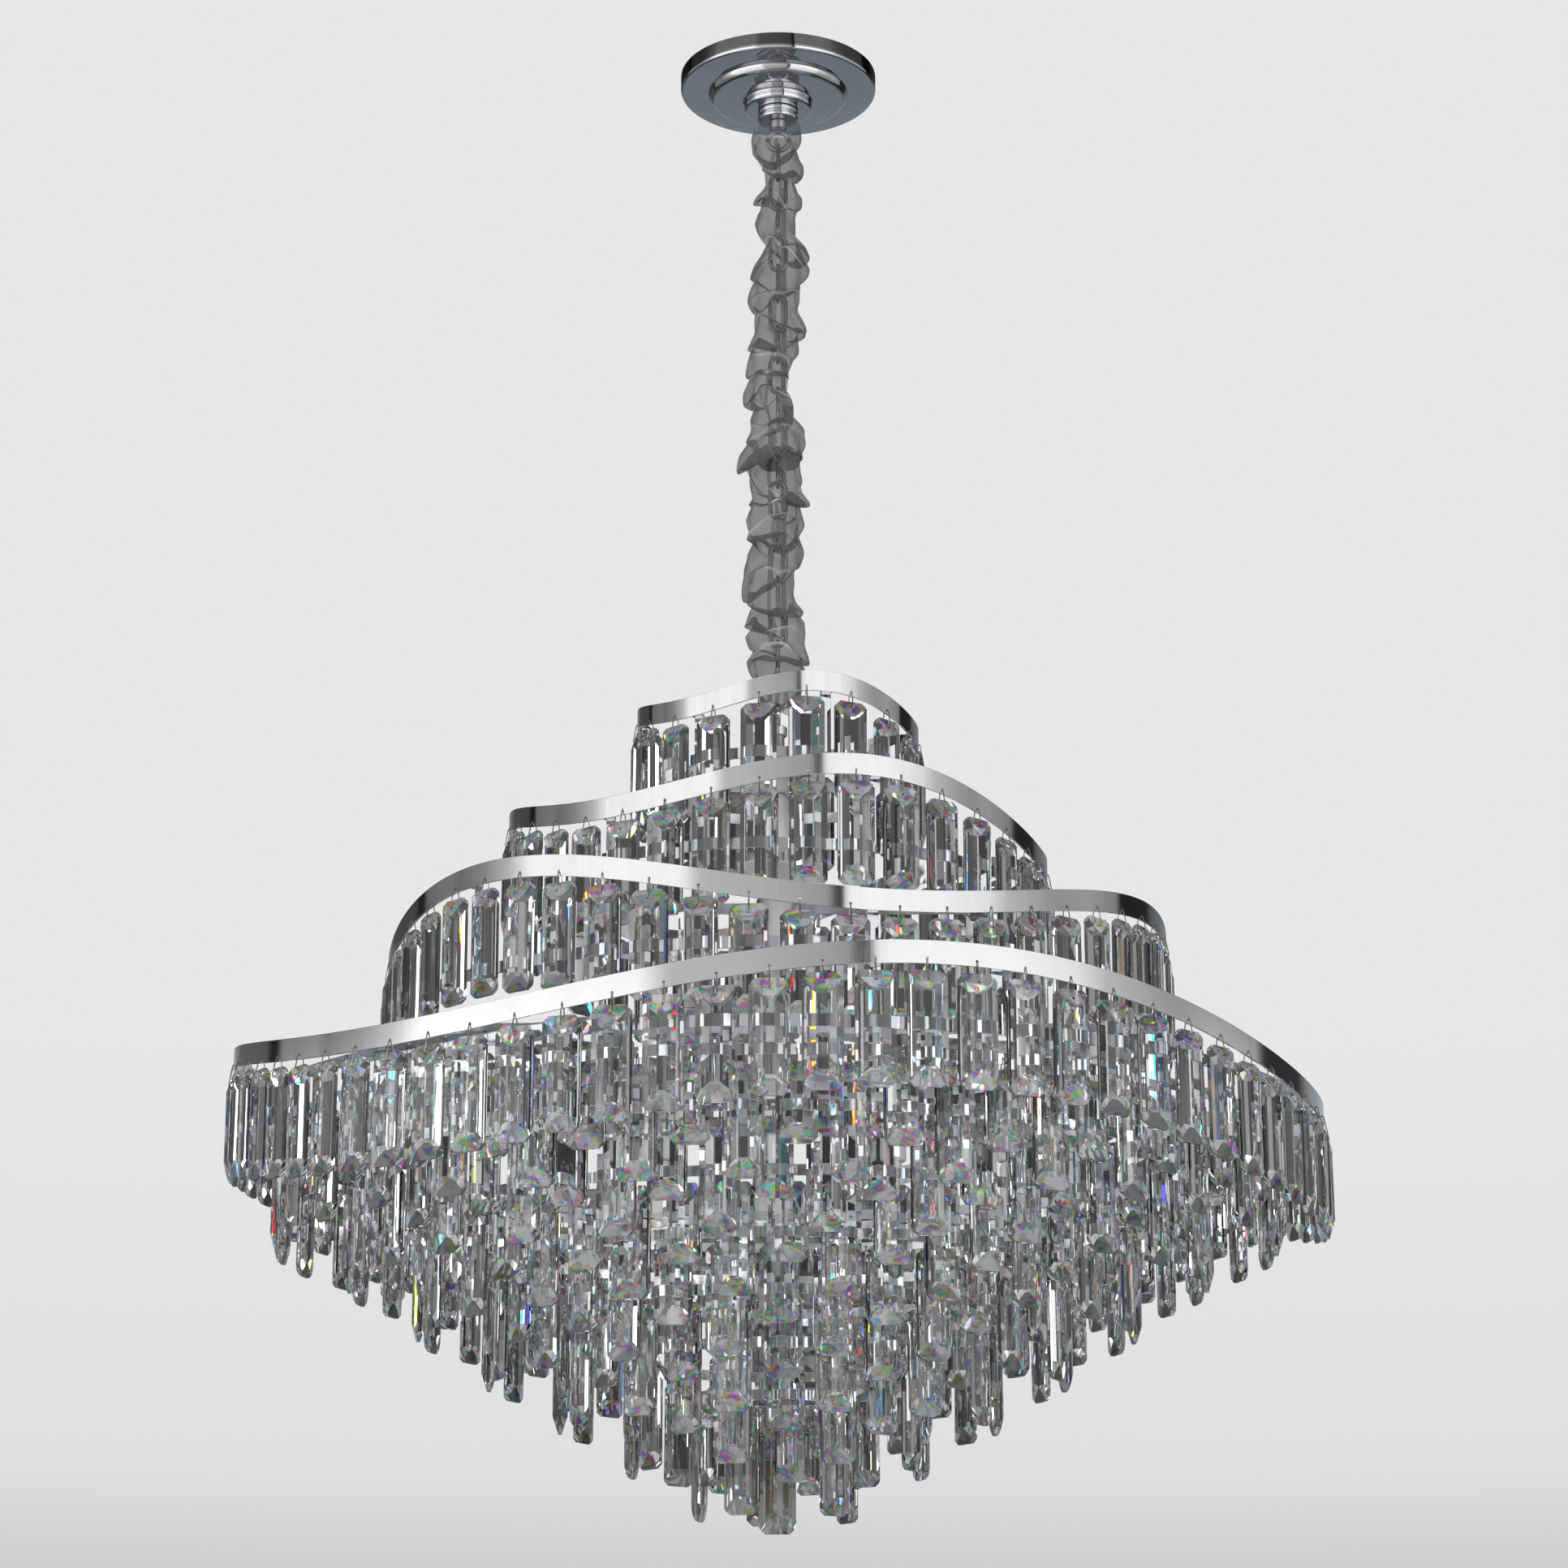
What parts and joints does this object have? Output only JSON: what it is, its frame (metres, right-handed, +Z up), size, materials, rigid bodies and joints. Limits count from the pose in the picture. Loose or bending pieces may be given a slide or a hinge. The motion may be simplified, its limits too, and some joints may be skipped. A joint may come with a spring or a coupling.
{
  "type": "crystal chandelier",
  "caption": "Round crystal chandelier on a sleeved chain: wavy chrome bands in steps over an inverted cone of flat rings, all hung with faceted bar pendants.",
  "frame": {"origin": "centre of the ceiling bracket's two screw holes, in the ceiling plane, on the light's axis", "axes": "+Z up along the hanging axis, -Y towards the front"},
  "size_m": [0.8006, 0.8008, 1.1395],
  "materials": {
    "chrome": "polished",
    "steel": "zinc plated",
    "wire": "bright nickel wire",
    "crystal": "clear, polished facets",
    "organza": "sheer gathered cloth",
    "cable": "clear jacket",
    "holder": "white",
    "bulb": "frosted"
  },
  "bodies": {
    "ceiling_mount": {"ceiling_bracket": "steel", "bracket_nut": "steel", "threaded_nipple": "steel", "canopy": "chrome", "canopy_loop": "chrome"},
    "collar": {"canopy_collar": "chrome"},
    "top_link": {"top_link": "chrome"},
    "chain": {"chain": "chrome", "supply_cable": "cable", "organza_sleeve": "organza"},
    "swivel_link": {"swivel_link": "chrome"},
    "lower_link": {"lower_link": "chrome"},
    "fixture": {"fixture_loop": "chrome", "centre_stem": "steel", "stem_nuts": "steel", "band_screws": "steel", "cone_ribs": "chrome", "cone_hooks": "wire", "lamp_holders": "holder", "bulbs": "bulb", "tier_frame_1": "chrome", "wavy_band_1": "chrome", "tier_hooks_1": "wire", "tier_crystals_1": "crystal", "tier_frame_2": "chrome", "wavy_band_2": "chrome", "tier_hooks_2": "wire", "tier_crystals_2": "crystal", "tier_frame_3": "chrome", "wavy_band_3": "chrome", "tier_hooks_3": "wire", "tier_crystals_3": "crystal", "tier_frame_4": "chrome", "wavy_band_4": "chrome", "tier_hooks_4": "wire", "tier_crystals_4": "crystal", "cone_ring_1": "chrome", "cone_long_crystals_1": "crystal", "cone_short_crystals_1": "crystal", "cone_ring_2": "chrome", "cone_long_crystals_2": "crystal", "cone_short_crystals_2": "crystal", "cone_ring_3": "chrome", "cone_long_crystals_3": "crystal", "cone_short_crystals_3": "crystal", "cone_ring_4": "chrome", "cone_long_crystals_4": "crystal", "cone_short_crystals_4": "crystal", "cone_ring_5": "chrome", "cone_long_crystals_5": "crystal", "cone_short_crystals_5": "crystal", "cone_ring_6": "chrome", "cone_long_crystals_6": "crystal", "cone_short_crystals_6": "crystal", "cone_ring_7": "chrome", "cone_long_crystals_7": "crystal", "cone_short_crystals_7": "crystal"},
    "pendant_hook": {"centre_hook": "wire"},
    "pendant": {"centre_crystal": "crystal"}
  },
  "joints": [
    {"name": "collar_turn", "type": "hinge", "parent": "ceiling_mount", "child": "collar", "pos_m": [0, 0, -0.0393], "axis": [0, 0, 1], "continuous": true},
    {"name": "top_swing", "type": "hinge", "parent": "ceiling_mount", "child": "top_link", "pos_m": [0, 0, -0.0638], "axis": [1, 0, 0], "range_deg": [-15, 15]},
    {"name": "chain_swing", "type": "hinge", "parent": "top_link", "child": "chain", "pos_m": [0, 0, -0.0892], "axis": [0, 1, 0], "range_deg": [-15, 15]},
    {"name": "chain_twist", "type": "hinge", "parent": "chain", "child": "swivel_link", "pos_m": [0, 0, -0.4762], "axis": [0, 0, 1], "range_deg": [-30, 30]},
    {"name": "lower_swing", "type": "hinge", "parent": "swivel_link", "child": "lower_link", "pos_m": [0, 0, -0.502], "axis": [0, 1, 0], "range_deg": [-20, 20]},
    {"name": "fixture_swing", "type": "hinge", "parent": "lower_link", "child": "fixture", "pos_m": [0, 0, -0.5278], "axis": [1, 0, 0], "range_deg": [-20, 20]},
    {"name": "pendant_hook_swing", "type": "hinge", "parent": "fixture", "child": "pendant_hook", "pos_m": [0, 0, -1.0566], "axis": [0, 1, 0], "range_deg": [-12, 12]},
    {"name": "pendant_swing", "type": "hinge", "parent": "pendant_hook", "child": "pendant", "pos_m": [0, 0, -1.0704], "axis": [0, 1, 0], "range_deg": [-12, 12]}
  ]
}
